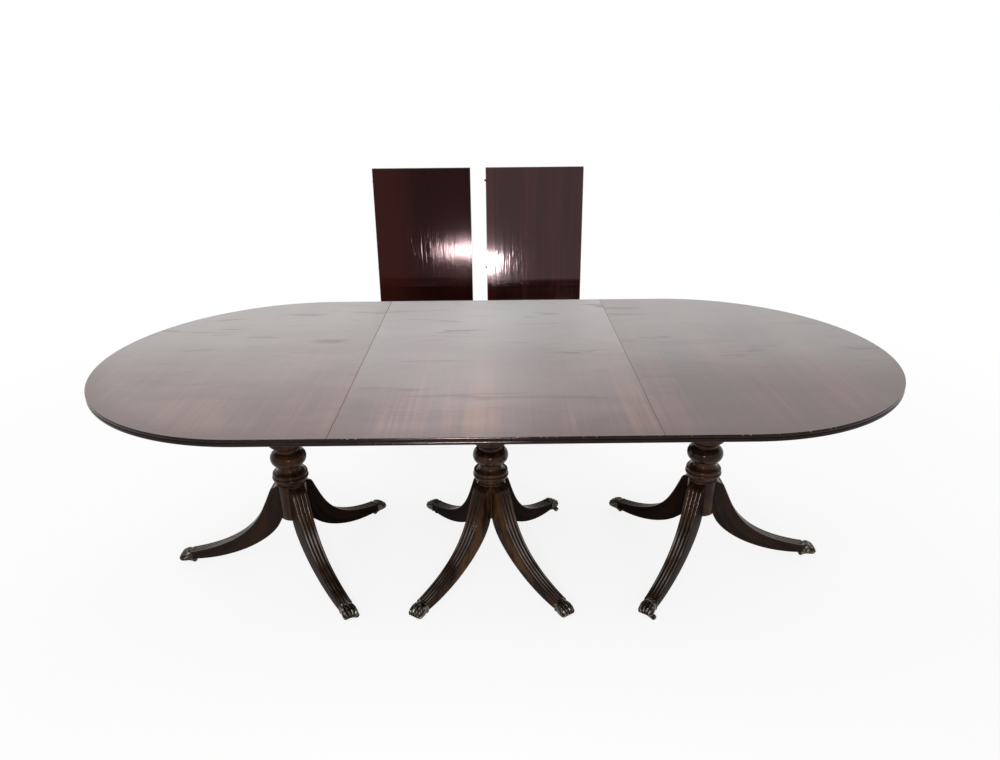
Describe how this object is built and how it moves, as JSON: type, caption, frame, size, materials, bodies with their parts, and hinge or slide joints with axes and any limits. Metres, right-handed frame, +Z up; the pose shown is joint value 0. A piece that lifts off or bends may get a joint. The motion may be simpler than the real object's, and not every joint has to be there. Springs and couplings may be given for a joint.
{
  "type": "triple pedestal dining table",
  "caption": "Long round-ended dining table in sections, on turned columns with reeded sabre legs and brass paw castors, with loose leaves to lengthen it.",
  "frame": {"origin": "on the floor, under the middle of the box round the table and the leaves that stand behind it", "axes": "+X along the row of pedestals, +Y from the front of the table to the leaves behind it, +Z up"},
  "size_m": [2.3526, 1.559, 1.19],
  "materials": {
    "mahogany": "polished mahogany with a hazy sheen",
    "dark_mahogany": "dark polished mahogany",
    "secondary_wood": "planed wood, unpolished",
    "old_brass": "darkened cast brass, rubbed bright on the toes",
    "wheel_brass": "turned brass, worn at the tread"
  },
  "bodies": {
    "centre_section": {"centre_top": "mahogany", "centre_column": "dark_mahogany", "centre_top_block": "secondary_wood", "centre_front_bearer": "secondary_wood", "centre_back_bearer": "secondary_wood", "centre_front_left_leg": "dark_mahogany", "centre_front_left_paw_cap": "old_brass", "centre_front_right_leg": "dark_mahogany", "centre_front_right_paw_cap": "old_brass", "centre_back_left_leg": "dark_mahogany", "centre_back_left_paw_cap": "old_brass", "centre_back_right_leg": "dark_mahogany", "centre_back_right_paw_cap": "old_brass"},
    "left_end_section": {"left_end_top": "mahogany", "left_column": "dark_mahogany", "left_top_block": "secondary_wood", "left_front_bearer": "secondary_wood", "left_back_bearer": "secondary_wood", "left_outer_leg": "dark_mahogany", "left_outer_paw_cap": "old_brass", "left_front_leg": "dark_mahogany", "left_front_paw_cap": "old_brass", "left_back_leg": "dark_mahogany", "left_back_paw_cap": "old_brass"},
    "right_end_section": {"right_end_top": "mahogany", "right_column": "dark_mahogany", "right_top_block": "secondary_wood", "right_front_bearer": "secondary_wood", "right_back_bearer": "secondary_wood", "right_outer_leg": "dark_mahogany", "right_outer_paw_cap": "old_brass", "right_front_leg": "dark_mahogany", "right_front_paw_cap": "old_brass", "right_back_leg": "dark_mahogany", "right_back_paw_cap": "old_brass"},
    "leaf_left": {"left_leaf": "mahogany"},
    "leaf_right": {"right_leaf": "mahogany"},
    "swivel_left_outer": {"left_outer_castor_horn": "old_brass"},
    "wheel_left_outer": {"left_outer_castor_wheel": "wheel_brass"},
    "swivel_left_front": {"left_front_castor_horn": "old_brass"},
    "wheel_left_front": {"left_front_castor_wheel": "wheel_brass"},
    "swivel_left_back": {"left_back_castor_horn": "old_brass"},
    "wheel_left_back": {"left_back_castor_wheel": "wheel_brass"},
    "swivel_centre_front_left": {"centre_front_left_castor_horn": "old_brass"},
    "wheel_centre_front_left": {"centre_front_left_castor_wheel": "wheel_brass"},
    "swivel_centre_front_right": {"centre_front_right_castor_horn": "old_brass"},
    "wheel_centre_front_right": {"centre_front_right_castor_wheel": "wheel_brass"},
    "swivel_centre_back_left": {"centre_back_left_castor_horn": "old_brass"},
    "wheel_centre_back_left": {"centre_back_left_castor_wheel": "wheel_brass"},
    "swivel_centre_back_right": {"centre_back_right_castor_horn": "old_brass"},
    "wheel_centre_back_right": {"centre_back_right_castor_wheel": "wheel_brass"},
    "swivel_right_outer": {"right_outer_castor_horn": "old_brass"},
    "wheel_right_outer": {"right_outer_castor_wheel": "wheel_brass"},
    "swivel_right_front": {"right_front_castor_horn": "old_brass"},
    "wheel_right_front": {"right_front_castor_wheel": "wheel_brass"},
    "swivel_right_back": {"right_back_castor_horn": "old_brass"},
    "wheel_right_back": {"right_back_castor_wheel": "wheel_brass"}
  },
  "joints": [
    {"name": "end_left_pull", "type": "slide", "parent": "centre_section", "child": "left_end_section", "axis": [-1, 0, 0], "range_m": [0, 0.42]},
    {"name": "end_right_pull", "type": "slide", "parent": "centre_section", "child": "right_end_section", "axis": [1, 0, 0], "range_m": [0, 0.42]},
    {"name": "leaf_left_lift", "type": "slide", "parent": "centre_section", "child": "leaf_left", "axis": [0, 0, 1], "range_m": [0, 0.6]},
    {"name": "leaf_right_lift", "type": "slide", "parent": "centre_section", "child": "leaf_right", "axis": [0, 0, 1], "range_m": [0, 0.6]},
    {"name": "swivel_left_outer", "type": "hinge", "parent": "left_end_section", "child": "swivel_left_outer", "pos_m": [-1.0503, -0.1845, 0], "axis": [0, 0, 1], "continuous": true},
    {"name": "swivel_left_front", "type": "hinge", "parent": "left_end_section", "child": "swivel_left_front", "pos_m": [-0.44805, -0.49468, 0], "axis": [0, 0, 1], "continuous": true},
    {"name": "swivel_left_back", "type": "hinge", "parent": "left_end_section", "child": "swivel_left_back", "pos_m": [-0.44805, 0.12568, 0], "axis": [0, 0, 1], "continuous": true},
    {"name": "swivel_centre_front_left", "type": "hinge", "parent": "centre_section", "child": "swivel_centre_front_left", "pos_m": [-0.24125, -0.49468, 0], "axis": [0, 0, 1], "continuous": true},
    {"name": "swivel_centre_front_right", "type": "hinge", "parent": "centre_section", "child": "swivel_centre_front_right", "pos_m": [0.20125, -0.49468, 0], "axis": [0, 0, 1], "continuous": true},
    {"name": "swivel_centre_back_left", "type": "hinge", "parent": "centre_section", "child": "swivel_centre_back_left", "pos_m": [-0.24125, 0.12568, 0], "axis": [0, 0, 1], "continuous": true},
    {"name": "swivel_centre_back_right", "type": "hinge", "parent": "centre_section", "child": "swivel_centre_back_right", "pos_m": [0.20125, 0.12568, 0], "axis": [0, 0, 1], "continuous": true},
    {"name": "swivel_right_outer", "type": "hinge", "parent": "right_end_section", "child": "swivel_right_outer", "pos_m": [1.0503, -0.1845, 0], "axis": [0, 0, 1], "continuous": true},
    {"name": "swivel_right_front", "type": "hinge", "parent": "right_end_section", "child": "swivel_right_front", "pos_m": [0.44805, -0.49468, 0], "axis": [0, 0, 1], "continuous": true},
    {"name": "swivel_right_back", "type": "hinge", "parent": "right_end_section", "child": "swivel_right_back", "pos_m": [0.44805, 0.12568, 0], "axis": [0, 0, 1], "continuous": true},
    {"name": "wheel_left_outer", "type": "hinge", "parent": "swivel_left_outer", "child": "wheel_left_outer", "pos_m": [-1.0283, -0.1845, 0.0082], "axis": [0, 1, 0], "continuous": true},
    {"name": "wheel_left_front", "type": "hinge", "parent": "swivel_left_front", "child": "wheel_left_front", "pos_m": [-0.429, -0.48368, 0.0082], "axis": [-0.5, 0.866, 0], "continuous": true},
    {"name": "wheel_left_back", "type": "hinge", "parent": "swivel_left_back", "child": "wheel_left_back", "pos_m": [-0.46083, 0.10777, 0.0082], "axis": [0.8141, -0.5807, 0], "continuous": true},
    {"name": "wheel_centre_front_left", "type": "hinge", "parent": "swivel_centre_front_left", "child": "wheel_centre_front_left", "pos_m": [-0.22847, -0.47677, 0.0082], "axis": [-0.8141, 0.5807, 0], "continuous": true},
    {"name": "wheel_centre_front_right", "type": "hinge", "parent": "swivel_centre_front_right", "child": "wheel_centre_front_right", "pos_m": [0.18847, -0.47677, 0.0082], "axis": [-0.8141, -0.5807, 0], "continuous": true},
    {"name": "wheel_centre_back_left", "type": "hinge", "parent": "swivel_centre_back_left", "child": "wheel_centre_back_left", "pos_m": [-0.22847, 0.10777, 0.0082], "axis": [0.8141, 0.5807, 0], "continuous": true},
    {"name": "wheel_centre_back_right", "type": "hinge", "parent": "swivel_centre_back_right", "child": "wheel_centre_back_right", "pos_m": [0.2199, 0.11402, 0.0082], "axis": [0.5299, 0.848, 0], "continuous": true},
    {"name": "wheel_right_outer", "type": "hinge", "parent": "swivel_right_outer", "child": "wheel_right_outer", "pos_m": [1.0283, -0.1845, 0.0082], "axis": [0, -1, 0], "continuous": true},
    {"name": "wheel_right_front", "type": "hinge", "parent": "swivel_right_front", "child": "wheel_right_front", "pos_m": [0.46491, -0.50882, 0.0082], "axis": [0.6428, 0.766, 0], "continuous": true},
    {"name": "wheel_right_back", "type": "hinge", "parent": "swivel_right_back", "child": "wheel_right_back", "pos_m": [0.46083, 0.10777, 0.0082], "axis": [0.8141, 0.5807, 0], "continuous": true}
  ]
}
